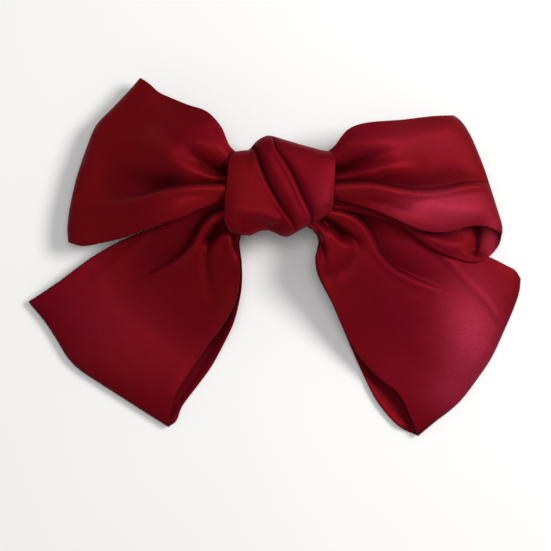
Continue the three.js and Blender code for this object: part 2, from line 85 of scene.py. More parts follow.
def addAreaLight(name, spot, aim, size, power, tint):
    data = bpy.data.lights.new(name, "AREA")
    data.shape = "DISK"
    data.size = size
    data.energy = power
    data.color = tint
    lamp = bpy.data.objects.new(name, data)
    lamp.location = spot
    lamp.rotation_euler = (Vector(aim) - Vector(spot)).to_track_quat("-Z", "Y").to_euler()
    bpy.context.scene.collection.objects.link(lamp)


def addStudio(setup):
    world = bpy.data.worlds.new("studio")
    world.use_nodes = True
    bpy.context.scene.world = world
    backdrop = world.node_tree.nodes["Background"]
    backdrop.inputs["Color"].default_value = (1, 1, 1, 1)
    backdrop.inputs["Strength"].default_value = setup["world"]
    for side in ("key", "front"):
        addAreaLight(side + "Light", setup[side + "Spot"], setup["aim"], setup[side + "Size"],
                     setup[side + "Power"], setup[side + "Tint"])
    bpy.context.scene.view_settings.view_transform = "Standard"


addCamera(cameraSetup)
addStudio(lightSetup)
print("camera and lights placed")


class Finish:  # a material and short ways to add and join its nodes
    def __init__(self, name):
        self.material = bpy.data.materials.new(name)
        self.material.use_nodes = True
        self.nodes = self.material.node_tree.nodes
        self.shader = self.nodes["Principled BSDF"]

    def add(self, kind, inputs=None, **settings):
        node = self.nodes.new(kind)
        for key, value in settings.items():
            setattr(node, key, value)
        for key, value in (inputs or {}).items():
            self.feed(node, key, value)
        return node

    def feed(self, node, key, value):
        if isinstance(value, bpy.types.NodeSocket):
            self.material.node_tree.links.new(value, node.inputs[key])
        else:
            node.inputs[key].default_value = value

    def set(self, **values):
        for key, value in values.items():
            self.feed(self.shader, key.replace("_", " "), value)

    def ramp(self, factor, stops):
        node = self.add("ShaderNodeValToRGB", {"Fac": factor})
        band = node.color_ramp
        while len(band.elements) < len(stops):
            band.elements.new(0.5)
        for element, (place, colour) in zip(band.elements, stops):
            element.position = place
            element.color = colour
        return node.outputs["Color"]

    def noise(self, vector, scale, detail=2.0, roughness=0.5):
        node = self.add("ShaderNodeTexNoise", {"Vector": vector, "Scale": scale, "Detail": detail,
                                               "Roughness": roughness})
        return node.outputs["Fac"]

    def maths(self, operation, first, second=0.0):
        node = self.add("ShaderNodeMath", {0: first, 1: second}, operation=operation)
        return node.outputs["Value"]

    def mixed(self, factor, first, second, blend="MIX"):
        node = self.add("ShaderNodeMix", data_type="RGBA", blend_type=blend)
        self.feed(node, 0, factor)
        self.feed(node, 6, first)
        self.feed(node, 7, second)
        return node.outputs[2]

    def bump(self, height, strength, distance, normal=None):
        node = self.add("ShaderNodeBump", {"Height": height, "Strength": strength, "Distance": distance})
        if normal is not None:
            self.feed(node, "Normal", normal)
        return node.outputs["Normal"]


def rgb(red, green, blue):
    return (red, green, blue, 1.0)


def grey(level):
    return rgb(level, level, level)


satinLook = {
    # valley and shade are painted shade for folds and creases, crest and the colour after it painted
    # highlight for crests, face the open satin
    "valley": rgb(0.026, 0.0003, 0.0012), "shade": rgb(0.082, 0.0012, 0.0036),
    "face": rgb(0.136, 0.0022, 0.0052), "crest": rgb(0.195, 0.0050, 0.0080),
    "paintedCrestHighlight": rgb(0.26, 0.012, 0.012),
    "plum": rgb(0.122, 0.0020, 0.0115), "plumScale": 26.0,
    "ember": rgb(0.165, 0.0050, 0.0040), "emberScale": 21.0, "emberPlace": (3.1, 1.7, 0.4),
    # the first colour on the next line is a painted sheen, a magenta-pink painted highlight
    "paintedSheen": rgb(0.38, 0.026, 0.066), "speckleScale": 0.9, "tintShare": 0.5, "grainShare": 0.75,
    "roughness": 0.47, "roughSpread": 0.12, "mattInFolds": 0.35,
    "metallic": 0.22, "specular": 0.4, "specularTint": rgb(1.0, 0.10, 0.16), "ior": 1.28,
    "sheen": 0.06, "sheenRoughness": 0.45, "sheenTint": rgb(1.0, 0.10, 0.18),
    "threadPitch": 0.00034, "threadLength": 3.0, "threadDepth": 0.00003, "threadBump": 0.30,
    "softScale": 120.0, "softBump": 0.16, "softDepth": 0.0016,
}


def satinFinish(name, look):
    f = Finish(name)
    place = f.add("ShaderNodeTexCoord").outputs["Object"]
    weave = f.add("ShaderNodeUVMap", uv_map="weave").outputs["UV"]
    # the fold value carries painted shade and painted highlight, worked out from the lift of the folds
    fold = f.add("ShaderNodeAttribute", attribute_name="fold").outputs["Fac"]
    # the warp floats run along the strip: long fine threads, crossed by small tie-downs
    pitch = look["threadPitch"]
    warp = f.add("ShaderNodeMapping", {"Vector": weave,
                                       "Scale": (1 / (look["threadLength"] * pitch), 1 / pitch, 1.0)})
    threads = f.noise(warp.outputs["Vector"], 1.0, 2.0, 0.6)
    ties = f.add("ShaderNodeTexVoronoi", {"Vector": weave, "Scale": 0.5 / pitch}, feature="F1")
    # painted shade and highlight: the fold value darkens valleys, creases and turned-under rims and lightens
    # crests
    tone = f.ramp(fold, [(0.0, look["valley"]), (0.3, look["shade"]), (0.5, look["face"]),
                         (0.72, look["crest"]), (1.0, look["paintedCrestHighlight"])])
    # the random tints show only where the painted fold shade is light
    lieOpen = f.ramp(fold, [(0.12, grey(0)), (0.42, grey(look["tintShare"]))])
    plum = f.ramp(f.noise(place, look["plumScale"], 3.0, 0.55), [(0.40, grey(0)), (0.68, grey(1))])
    tone = f.mixed(f.maths("MULTIPLY", plum, lieOpen), tone, look["plum"])
    moved = f.add("ShaderNodeMapping", {"Vector": place, "Location": look["emberPlace"]}).outputs["Vector"]
    embers = f.ramp(f.noise(moved, look["emberScale"], 2.0, 0.5), [(0.46, grey(0)), (0.70, grey(1))])
    tone = f.mixed(f.maths("MULTIPLY", embers, lieOpen), tone, look["ember"])
    # painted sheen: magenta-pink patches of painted highlight, speckled with fine grain
    shine = f.add("ShaderNodeAttribute", attribute_name="paintedSheen").outputs["Fac"]
    speckle = f.ramp(f.noise(weave, look["speckleScale"] / pitch, 2.0, 0.7), [(0.36, grey(0.5)),
                                                                              (0.62, grey(1))])
    tone = f.mixed(f.maths("MULTIPLY", shine, speckle), tone, look["paintedSheen"])
    grain = f.ramp(threads, [(0.25, rgb(0.80, 0.78, 0.80)), (0.75, rgb(1.22, 1.25, 1.25))])
    f.set(Base_Color=f.mixed(look["grainShare"], tone, grain, "MULTIPLY"))
    matt = f.ramp(fold, [(0.06, grey(look["mattInFolds"])), (0.34, grey(0))])  # no glints deep in a fold
    spread = look["roughSpread"]
    rough = f.maths("ADD", f.maths("MULTIPLY", threads, spread), look["roughness"] - spread / 2)
    f.set(Roughness=f.maths("ADD", rough, matt))
    f.set(Sheen_Weight=look["sheen"], Sheen_Roughness=look["sheenRoughness"], Sheen_Tint=look["sheenTint"])
    f.set(Specular_IOR_Level=look["specular"], Specular_Tint=look["specularTint"],
          IOR=look["ior"], Metallic=look["metallic"])
    fine = f.maths("ADD", threads, f.maths("MULTIPLY", ties.outputs["Distance"], 0.5))
    slub = f.bump(f.noise(place, look["softScale"], 2.0, 0.5), look["softBump"], look["softDepth"])
    f.set(Normal=f.bump(fine, look["threadBump"], look["threadDepth"], slub))
    return f.material


threadLook = {"dark": rgb(0.06, 0.003, 0.008), "light": rgb(0.16, 0.008, 0.02), "roughness": 0.55,
              "sheen": 0.4, "sheenRoughness": 0.5, "fibreScale": 2600.0, "bump": 0.4, "depth": 0.00006}


def threadFinish(name, look):
    f = Finish(name)
    place = f.add("ShaderNodeTexCoord").outputs["Object"]
    fibres = f.noise(place, look["fibreScale"], 3.0, 0.6)
    f.set(Base_Color=f.ramp(fibres, [(0.3, look["dark"]),
                                     (0.7, look["light"])]), Roughness=look["roughness"])
    f.set(Sheen_Weight=look["sheen"], Sheen_Roughness=look["sheenRoughness"])
    f.set(Normal=f.bump(fibres, look["bump"], look["depth"]))
    return f.material


feltLook = {"dark": rgb(0.018, 0.003, 0.006), "light": rgb(0.045, 0.007, 0.012), "roughness": 0.94,
            "sheen": 0.7, "sheenRoughness": 0.6, "clumpScale": 420.0, "fibreScale": 1500.0,
            "bump": 0.7, "depth": 0.00022}


def feltFinish(name, look):
    f = Finish(name)
    place = f.add("ShaderNodeTexCoord").outputs["Object"]
    clumps = f.noise(place, look["clumpScale"], 4.0, 0.62)
    fibres = f.add("ShaderNodeTexVoronoi", {"Vector": place, "Scale": look["fibreScale"]},
                   feature="DISTANCE_TO_EDGE")
    f.set(Base_Color=f.ramp(clumps, [(0.32, look["dark"]),
                                     (0.68, look["light"])]), Roughness=look["roughness"])
    f.set(Sheen_Weight=look["sheen"], Sheen_Roughness=look["sheenRoughness"])
    f.set(Normal=f.bump(f.maths("ADD", clumps, fibres.outputs["Distance"]), look["bump"], look["depth"]))
    return f.material


nickelLook = {"base": rgb(0.60, 0.58, 0.54), "worn": rgb(0.46, 0.45, 0.43), "roughness": 0.26,
              "brush": (0.06, 1, 1)}
springLook = {"base": rgb(0.42, 0.43, 0.45), "worn": rgb(0.32, 0.33, 0.35), "roughness": 0.32,
              "brush": (0.08, 1, 1)}


def metalFinish(name, look):
    # brushed along X, with cloudy wear and small specks
    f = Finish(name)
    place = f.add("ShaderNodeTexCoord").outputs["Object"]
    along = f.add("ShaderNodeMapping", {"Vector": place, "Scale": look["brush"]}).outputs["Vector"]
    brushed = f.noise(along, 900.0, 3.0, 0.55)
    cloud = f.noise(place, 160.0, 3.0, 0.6)
    specks = f.ramp(f.noise(place, 1100.0, 2.0, 0.4), [(0.62, grey(0)), (0.70, grey(1))])
    tone = f.mixed(cloud, look["base"], look["worn"])
    f.set(Base_Color=f.mixed(f.maths("MULTIPLY", specks, 0.25), tone, look["worn"]), Metallic=1.0)
    rough = f.maths("ADD", f.maths("MULTIPLY", brushed, 0.14), look["roughness"] - 0.05)
    f.set(Roughness=f.maths("ADD", f.maths("MULTIPLY", cloud, 0.08), rough))
    f.set(Normal=f.bump(brushed, 0.12, 0.00003))
    return f.material


floorSetup = {"size": 6.0, "below": 0.0003, "dark": 0.93, "pale": 0.96, "cloudScale": 8.0, "roughness": 0.9,
              "specular": 0.1}


def floorFinish(name, setup):
    f = Finish(name)
    place = f.add("ShaderNodeTexCoord").outputs["Object"]
    clouds = f.noise(place, setup["cloudScale"])
    f.set(Base_Color=f.ramp(clouds, [(0.2, grey(setup["dark"])), (0.8, grey(setup["pale"]))]))
    f.set(Roughness=setup["roughness"], Specular_IOR_Level=setup["specular"])
    return f.material


burgundySatin = satinFinish("burgundySatin", satinLook)
burgundyThread = threadFinish("burgundyThread", threadLook)
wineFelt = feltFinish("wineFelt", feltLook)
nickelPlate = metalFinish("nickelPlate", nickelLook)
springSteel = metalFinish("springSteel", springLook)
print("materials made")


def addFloor(setup):
    mesh = bpy.data.meshes.new("floor")
    half = setup["size"] / 2
    corners = [(-half, -half, 0), (half, -half, 0), (half, half, 0), (-half, half, 0)]
    mesh.from_pydata(corners, [], [(0, 1, 2, 3)])
    mesh.materials.append(floorFinish("paleFloor", setup))
    floor = bpy.data.objects.new("floor", mesh)
    bpy.context.scene.collection.objects.link(floor)
    floor.location.z = -setup["below"]


addFloor(floorSetup)


def smoothstep(low, high, value):
    share = np.clip((value - low) / (high - low), 0, 1)
    return share * share * (3 - 2 * share)


def mixValues(first, second, share):
    return first + (second - first) * share


def smoothLine(points, count, spanSteps=16):
    # a soft line through the points, with count + 1 places evenly spaced along it
    p = np.array(points, float)
    p = np.vstack([2 * p[0] - p[1], p, 2 * p[-1] - p[-2]])
    knots = np.concatenate([[0], np.cumsum(np.sqrt(np.linalg.norm(np.diff(p, axis=0), axis=1)))])
    dense = []
    for i in range(1, len(p) - 2):
        t0, t1, t2, t3 = knots[i - 1:i + 3]
        for t in np.linspace(t1, t2, spanSteps, endpoint=False):
            a1 = (t1 - t) / (t1 - t0) * p[i - 1] + (t - t0) / (t1 - t0) * p[i]
            a2 = (t2 - t) / (t2 - t1) * p[i] + (t - t1) / (t2 - t1) * p[i + 1]
            a3 = (t3 - t) / (t3 - t2) * p[i + 1] + (t - t2) / (t3 - t2) * p[i + 2]
            b1 = (t2 - t) / (t2 - t0) * a1 + (t - t0) / (t2 - t0) * a2
            b2 = (t3 - t) / (t3 - t1) * a2 + (t - t1) / (t3 - t1) * a3
            dense.append((t2 - t) / (t2 - t1) * b1 + (t - t1) / (t2 - t1) * b2)
    dense.append(p[-2])
    dense = np.array(dense)
    reach = np.concatenate([[0], np.cumsum(np.linalg.norm(np.diff(dense, axis=0), axis=1))])
    even = np.linspace(0, reach[-1], count + 1)
    return np.stack([np.interp(even, reach, dense[:, k]) for k in range(dense.shape[1])], axis=1)


def beside(line, x, y):
    # signed distance of each place from a line, plus on its left, and the share of the line passed
    best = np.full(x.shape, 1e9)
    side = np.zeros(x.shape)
    passed = np.zeros(x.shape)
    count = len(line) - 1
    for i in range(count):
        ax, ay = line[i]
        dx, dy = line[i + 1] - line[i]
        length = dx * dx + dy * dy + 1e-12
        share = np.clip(((x - ax) * dx + (y - ay) * dy) / length, 0, 1)
        offX = x - ax - share * dx
        offY = y - ay - share * dy
        distance = np.hypot(offX, offY)
        nearer = distance < best
        best = np.where(nearer, distance, best)
        side = np.where(nearer, np.sign(dx * offY - dy * offX), side)
        passed = np.where(nearer, (i + share) / count, passed)
    return best * np.where(side == 0, 1, side), passed


def paintedSheenAt(blooms, x, y):
    # how strong the painted sheen is, from 0 to 1, in soft oval patches
    shine = np.zeros(x.shape)
    for centreX, centreY, halfX, halfY, strength in blooms:
        shine += strength * np.exp(-((x - centreX) / halfX) ** 2 - ((y - centreY) / halfY) ** 2)
    return np.clip(shine, 0, 1)


foldForm = {
    "steps": 30,  # along the line of a fold
    "edgeLeast": 0.6, "edgeShare": 0.16,  # how wide the drop of a lap is, at the least and for its depth
    "fillPower": 1.3, "fillRate": 0.8,  # how the valley beyond the drop fills up
    "crestPlace": 0.5, "crestRate": 2.2, "creaseAt": 0.5, "creaseWidth": 0.9,
}


def foldHeight(folds, x, y):
    # the lift of the cloth, in millimetres, that a list of folds gives at each place, and how much painted
    # shade it gets
    lift = np.zeros(x.shape)
    dark = np.zeros(x.shape)
    for fold in folds:
        distance, passed = beside(smoothLine(fold["line"], foldForm["steps"]), x, y)
        wide = mixValues(fold["wide"][0], fold["wide"][1], passed)
        deep = fold["deep"] * mixValues(fold["fade"][0], fold["fade"][1], passed)
        across = distance / wide
        if fold["kind"] == "valley":
            lift -= deep * np.exp(-across ** 2)
            # painted shade down the valley
            dark += deep * fold["dark"] * np.exp(-across ** 2)
        elif fold["kind"] == "ridge":
            lift += deep * np.exp(-across ** 2)
        else:  # a lap: a round crest on the right of the line that drops to a valley on its left
            edge = max(foldForm["edgeLeast"], foldForm["edgeShare"] * fold["deep"])
            fill = np.exp(-np.maximum(across, 0) ** foldForm["fillPower"] * foldForm["fillRate"])
            drop = smoothstep(-edge / 2, edge, distance) * fill
            overCrest = distance / fold["crest"] + foldForm["crestPlace"]
            crest = np.exp(-overCrest ** 2 * foldForm["crestRate"])
            lift += deep * (fold["rise"] * crest - drop)
            # painted shade along the crease of the lap
            crease = np.exp(-((distance - foldForm["creaseAt"]) / foldForm["creaseWidth"]) ** 2)
            dark += deep * fold["dark"] * crease
    return lift, dark


# dark sets how much painted shade the crease or valley gets
def lap(line, deep, wide, fade=(1, 1), crest=2.2, rise=0.45, dark=0.04):
    return {"kind": "lap", "line": line, "deep": deep, "wide": wide, "fade": fade, "crest": crest,
            "rise": rise, "dark": dark}


def valley(line, deep, wide, fade=(1, 1), dark=0.0):
    return {"kind": "valley", "line": line, "deep": deep, "wide": wide, "fade": fade, "dark": dark}


def ridge(line, deep, wide, fade=(1, 1)):
    return {"kind": "ridge", "line": line, "deep": deep, "wide": wide, "fade": fade}


def softened(grid, times):
    # evens out a grid of heights along both of its directions, with its rims kept
    for _ in range(times):
        inner = grid.copy()
        inner[1:-1] += 0.5 * ((grid[:-2] + grid[2:]) / 2 - grid[1:-1])
        inner[:, 1:-1] += 0.5 * ((grid[:, :-2] + grid[:, 2:]) / 2 - grid[:, 1:-1])
        grid = inner
    return grid


def meshFrom(name, points, faces, material, weave=None, marks=None):
    mesh = bpy.data.meshes.new(name)
    mesh.from_pydata([tuple(p) for p in points], [], [tuple(f) for f in faces])
    mesh.validate()
    mesh.polygons.foreach_set("use_smooth", np.ones(len(mesh.polygons), bool))
    if weave is not None:
        layer = mesh.uv_layers.new(name="weave")
        corners = np.zeros(len(mesh.loops), np.int32)
        mesh.loops.foreach_get("vertex_index", corners)
        layer.data.foreach_set("uv", np.asarray(weave, np.float32)[corners].ravel())
    for label, values in (marks or {}).items():
        attribute = mesh.attributes.new(label, "FLOAT", "POINT")
        attribute.data.foreach_set("value", np.asarray(values, np.float32))
    mesh.materials.append(material)
    mesh.update()
    piece = bpy.data.objects.new(name, mesh)
    bpy.context.scene.collection.objects.link(piece)
    return piece


def outwards(piece):
    work = bmesh.new()
    work.from_mesh(piece.data)
    bmesh.ops.recalc_face_normals(work, faces=work.faces)
    if work.calc_volume(signed=True) < 0:
        bmesh.ops.reverse_faces(work, faces=work.faces)
    work.to_mesh(piece.data)
    work.free()


def gridNormals(points):
    # unit normals of a grid of points, whose first direction closes on itself
    along = np.roll(points, -1, axis=0) - np.roll(points, 1, axis=0)
    across = np.gradient(points, axis=1)
    normal = np.cross(along, across)
    return normal / np.maximum(np.linalg.norm(normal, axis=2, keepdims=True), 1e-9), across


rimPaintedShade = 0.2  # how much painted shade darkens a rim where it turns under
rimTurns = [30, 60, 90, 120, 150]  # degrees, round a rim from one face to the other


def closedStrip(name, points, fold, insideShade, paintedSheen, half, material):
    # an endless strip with round rims: points[i, j] goes round with i and across with j, in millimetres;
    # fold is the painted shade and highlight of the outer face, and inside that of the inner face
    around, wide = points.shape[:2]
    normal, across = gridNormals(points)
    outward = across / np.maximum(np.linalg.norm(across, axis=2, keepdims=True), 1e-9)
    rows = [points[:, j] + half * normal[:, j] for j in range(wide)]
    marks = list(range(wide))
    for turn in rimTurns:
        a = math.radians(turn)
        rows.append(points[:, -1] + half * (math.cos(a) * normal[:, -1] + math.sin(a) * outward[:, -1]))
        marks.append(wide - 1)
    for j in range(wide - 1, -1, -1):
        rows.append(points[:, j] - half * normal[:, j])
        marks.append(j)
    for turn in rimTurns:
        a = math.radians(turn)
        rows.append(points[:, 0] + half * (-math.cos(a) * normal[:, 0] - math.sin(a) * outward[:, 0]))
        marks.append(0)
    sections = len(rows)
    solid = np.stack(rows, axis=1)
    index = np.arange(around * sections).reshape(around, sections)
    nextAround = np.roll(index, -1, axis=0)
    corners = [index, nextAround, np.roll(nextAround, -1, axis=1), np.roll(index, -1, axis=1)]
    faces = np.stack(corners, axis=2)
    stepAlong = np.linalg.norm(np.diff(points[:, wide // 2], axis=0), axis=1)
    along = np.concatenate([[0], np.cumsum(stepAlong)])
    stepAcross = np.linalg.norm(np.diff(points, axis=1), axis=2).mean(axis=0)
    side = np.concatenate([[0], np.cumsum(stepAcross)])
    weave = np.zeros((around, sections, 2))
    weave[:, :, 0] = along[:, None] * mm
    weave[:, :, 1] = side[marks][None, :] * mm
    crown = points[:, wide // 2, 2].argmax()
    first, second = (fold, insideShade) if normal[crown, wide // 2, 2] > 0 else (insideShade, fold)
    # painted shade on the rims, where they turn under
    rim = np.minimum(fold, insideShade) - rimPaintedShade
    turns = len(rimTurns)
    depth = np.concatenate([first, np.repeat(rim[:, -1:], turns, axis=1),
                            second[:, ::-1], np.repeat(rim[:, :1], turns, axis=1)], axis=1)
    depth = np.clip(depth, 0, 1)
    piece = meshFrom(name, solid.reshape(-1, 3) * mm, faces.reshape(-1, 4), material, weave.reshape(-1, 2),
                     {"fold": depth.reshape(-1), "paintedSheen": paintedSheen[:, marks].reshape(-1)})
    outwards(piece)
    return piece


# Each lobe: the upper and lower rim of its front ply and of its back ply, from the middle of the knot to
# the outer bend, and the line of the bend itself, from its lower to its upper end.
# Each lobe also lists spots of painted sheen: soft ovals of painted highlight, as centre, half sizes and
# strength.
upperLeft = {
    "frontTop": [(1.8, 40.2), (-8, 39.6), (-14, 39.9), (-17.8, 43), (-21.2, 50.4), (-26.8, 56.4),
                 (-34, 59.2), (-41.2, 62.4), (-46, 64.8), (-50, 68.4), (-53.4, 70.8)],
    "backTop": [(1.8, 40.2), (-8, 39.2), (-15, 39.4), (-19.5, 43), (-24, 51), (-33, 58), (-42, 61.8),
                (-53.4, 70.8)],
    "frontLow": [(1.8, 28.6), (-10, 26.4), (-18.8, 23.6), (-24, 21.2), (-30, 18.8), (-36, 16), (-44, 13.4),
                 (-52, 10.6), (-60, 8), (-68, 6.2), (-76, 5), (-81.6, 6.4)],
    "backLow": [(1.8, 28.6), (-10, 26.6), (-18.8, 24.6), (-30, 20.5), (-44, 15.4), (-60, 10),
                (-70, 8), (-81.6, 6.4)],
    "blooms": [],
    "bend": [(-81.6, 6.4), (-81.9, 11), (-81.2, 18.4), (-78.4, 31.2), (-74.4, 43.2), (-70.6, 52.2),
             (-64.4, 58.8), (-57, 66.6), (-53.4, 70.8)],
}
upperRight = {
    "frontTop": [(1.8, 40.2), (12, 39.8), (18, 39.9), (22.6, 42.4), (28, 49), (33, 51.4), (50, 53.6),
                 (62, 55.4), (70.6, 56)],
    "backTop": [(1.8, 40.2), (12, 39.6), (19, 39.8), (25, 43.5), (34, 50), (50, 52.8), (70.6, 56)],
    "frontLow": [(1.8, 28.6), (12, 26.4), (23.6, 22.9), (31, 21.0), (39, 18.4), (45, 15.8),
                 (50, 13.6), (55, 11.6), (60, 10.4), (65, 10.2), (70, 10.9), (74.8, 12.3), (79, 12.9),
                 (84, 12.4), (89.6, 10)],
    "backLow": [(1.8, 28.6), (12, 25.6), (23.6, 19.6), (32, 17.8), (40, 15.6), (47, 13.2), (53, 10.0),
                (57.5, 6.9), (62, 4.0), (68, 1.2), (74, -0.8), (78, -1.7), (82, -0.9), (85.8, 1.6),
                (88.8, 5.4), (89.6, 10)],
    "blooms": [(66, 19.5, 17, 6, 0.66), (86, 8, 3.4, 9, 0.45), (58, 46, 20, 6, 0.12)],
    "bend": [(89.6, 10), (89.4, 13), (87.2, 20.4), (84.8, 28), (82, 36.4), (76.6, 49), (73.2, 54),
             (70.6, 56)],
}
tailLeft = {
    "frontTop": [(1.8, 27.4), (-10, 25.6), (-19.6, 22.8), (-26, 20), (-34, 16.8), (-44, 12.8), (-54, 9.2),
                 (-62, 5.8), (-72, 0.4), (-90, -12.8), (-98, -17.6)],
    "backTop": [(1.8, 27.4), (-10, 25.4), (-20, 22.4), (-34, 16), (-46, 11), (-62, 5), (-76, -3),
                (-98, -17.6)],
    "frontLow": [(1.8, 15.8), (-6, 14), (-12, 11.4), (-14.8, 7), (-14.1, -2), (-14.2, -9), (-16.6, -18.6),
                 (-21.8, -27.6), (-26.2, -33.2), (-32, -41.6), (-37, -49), (-40.8, -56), (-42.2, -62),
                 (-42.6, -67)],
    "backLow": [(1.8, 15.8), (-6, 14), (-12, 11.2), (-14.2, 7), (-13.4, -2.4), (-13.4, -9.6),
                (-14.4, -16.6), (-16.8, -25.6), (-20.4, -33.2), (-26, -43.4), (-32, -51.6),
                (-37.6, -59.2), (-40.0, -65), (-42.6, -67)],
    "blooms": [(-56, -26, 30, 24, 0.10)],
    "bend": [(-42.6, -67), (-50, -62.4), (-60, -56), (-70, -49.6), (-78, -44.2), (-82.4, -39.8),
             (-87.5, -31.5), (-92, -24.8), (-98, -17.6)],
}
tailRight = {
    "frontTop": [(1.8, 27.4), (12, 24.8), (23.6, 20.6), (32, 19.2), (40, 17.2), (48, 14.8),
                 (56, 10.4), (66, 6), (76, 2.6), (84.4, 0.2), (92, -3.4), (95.6, -5.4), (97.6, -8.4)],
    "backTop": [(1.8, 27.4), (12, 24.6), (23.6, 20), (40, 15.6), (58, 8.6), (76, 1.6), (92, -4),
                (97.6, -8.4)],
    "frontLow": [(1.8, 15.8), (9, 14), (15, 11), (17.6, 7), (16.2, 1), (17, -5.6), (22.8, -17.6),
                 (28, -29.2), (33.6, -38.8), (40, -46.2), (49.4, -54.2), (53.4, -61.6), (57, -70.6)],
    "backLow": [(1.8, 15.8), (9, 14), (15, 10.8), (17.2, 6.6), (15.9, 1), (16.6, -5.6), (22.6, -17.6),
                (28, -29.8), (36, -47.6), (41.2, -57.4), (50, -67.2), (57, -70.6)],
    "blooms": [(78, -30, 11, 20, 0.8), (70, -54, 10, 9, 0.4)],
    "bend": [(57, -70.6), (64, -64.8), (70, -60.2), (74, -56.4), (80.4, -48), (86, -39.6), (91.4, -28),
             (94.6, -20.6), (97.0, -13.6), (97.6, -8.4)],
}

upperLie = {"belly": 6.0, "endHeight": 9.4, "droopFrom": 0.42, "droopTo": 0.97, "bendPower": 9,
            "pleats": 5.2, "pleatLift": 0.42, "underLift": 1.0, "underShade": 0.40}
tailLie = {"belly": 3.4, "endHeight": 2.5, "droopFrom": 0.16, "droopTo": 0.74, "bendPower": 10,
           "pleats": 3.6, "pleatLift": 0.22, "underLift": 2.4, "underShade": 0.27}
bandSize = {
    "halfPly": 0.42, "frontSteps": 118, "backSteps": 62, "acrossSteps": 112,
    "neckHeight": 22.4, "neckSeparation": 2.4, "fullFrom": 0.18, "fullTo": 0.6, "crownDip": 0.22,
    "restBlend": 1.6, "floorGap": 0.05, "restGap": 0.25,
    "finePleats": 1.63, "fineShare": 0.5, "pleatsFrom": 0.2, "pleatFade": 8.5, "backTurn": 2.1,
    "backWaves": 2.3, "backWaveLift": 1.1, "foldsEnd": 0.965, "underFoldsEnd": 0.975,
    "tuckShade": 0.22, "tuckFront": 0.982, "tuckBack": 0.86,  # painted shade where the cloth turns under
}

upperLeftFolds = [
    valley([(-16, 33.4), (-22, 34.0), (-27.6, 36.2), (-34, 40)], 5.6, (1.9, 3.4), (1.15, 0.2)),
    lap([(-17.5, 32.2), (-24, 32.8), (-30, 34.8), (-35, 39)], 1.1, (1.4, 2.2), (1, 0.3)),
    ridge([(-47, 46), (-42, 41.6), (-36, 36.4), (-29, 32.6), (-18.5, 30.8)], 1.2, (4.4, 1.7)),
    lap([(-71, 22.4), (-66, 21.9), (-60, 22.2), (-55, 23.2), (-49, 24.6), (-43, 26.2), (-34, 27.6),
         (-17.4, 28.2)], 4.4, (6.6, 1.6), (0.2, 1.1), 2.6),
    valley([(-66, 32.5), (-58, 31.5), (-49, 30), (-41, 29.4)], 3.2, (5.4, 3.4), (0.5, 0.9)),
    ridge([(-73, 38), (-66, 33.4), (-60, 29.2), (-55.6, 25.6)], 0.8, (4, 3), (0.8, 0.6)),
    ridge([(-19, 25.6), (-30, 22.6), (-44, 18.2), (-58, 13.6)], 1.1, (1.7, 5), (1.2, 0.3)),
    valley([(-24, 47), (-31, 48.6), (-40, 54)], 0.6, (3, 5), (1, 0.4)),
    ridge([(-21, 41.6), (-28, 44.6), (-38, 51), (-49, 61)], 0.8, (3.0, 5), (0.9, 0.8)),
]
upperRightFolds = [
    valley([(21, 33.6), (27, 34.8), (34, 37.2), (43, 39.6)], 5.2, (1.7, 2.8), (1.2, 0.15)),
    lap([(44, 38.6), (34, 35.4), (21.6, 33.0)], 1.0, (2.2, 1.1), (0.2, 1.0)),
    ridge([(22, 30.9), (36, 33.0), (52, 36.2)], 1.0, (1.5, 4.6)),
    lap([(21.6, 28.2), (30, 28.6), (38, 28.5), (48, 26.6), (58, 26.0), (66, 26.9), (74.8, 28.8),
         (84, 29.4)], 4.2, (1.5, 3.6), (1.1, 0.35), 2.4),
    valley([(42, 31.4), (52, 29.8), (60, 29.6), (70, 31.6)], 1.8, (2.6, 5.2), (0.8, 0.5)),
    ridge([(22, 25.6), (34, 25.0), (48, 22.0)], 1.2, (1.3, 3), (1.1, 0.7)),
    valley([(38, 22.0), (44, 21.0), (50, 18.6)], 1.6, (2.0, 3.4), (0.7, 0.6)),
    ridge([(62, 21), (72, 19), (80, 18)], 0.9, (4, 4), (0.8, 0.6)),
    ridge([(27, 44), (40, 44.8), (56, 47.4), (68, 51)], 1.0, (3, 5), (0.8, 0.9)),
]
tailLeftFolds = [
    lap([(-46, -4.6), (-42, -2.6), (-37, 0.6), (-32.6, 5.4), (-29.6, 11), (-25.6, 15.6), (-19, 18.4)],
        7.2, (6.0, 2.6), (0.25, 0.8), 2.4, 0.3),
    valley([(-16.6, 13.6), (-22, 11.0), (-25.8, 7.2)], 8.2, (1.7, 1.9), (1.2, 0.5)),
    valley([(-25.8, 7.4), (-26.8, 0.4), (-26.6, -6.4), (-25.4, -13.6)], 2.6, (1.4, 1.8), (1, 0.3)),
    valley([(-16.6, 9.6), (-15.8, 5), (-14.6, 0.4)], 4.0, (0.9, 0.9), (1.2, 0.3)),
    ridge([(-52, 7.4), (-56, 3.6), (-63, -2.6), (-70, -8)], 0.9, (1.5, 2.6), (1, 0.4)),
    ridge([(-18, -14), (-24, -27), (-32, -38), (-40, -53)], 0.8, (3.0, 5)),
]
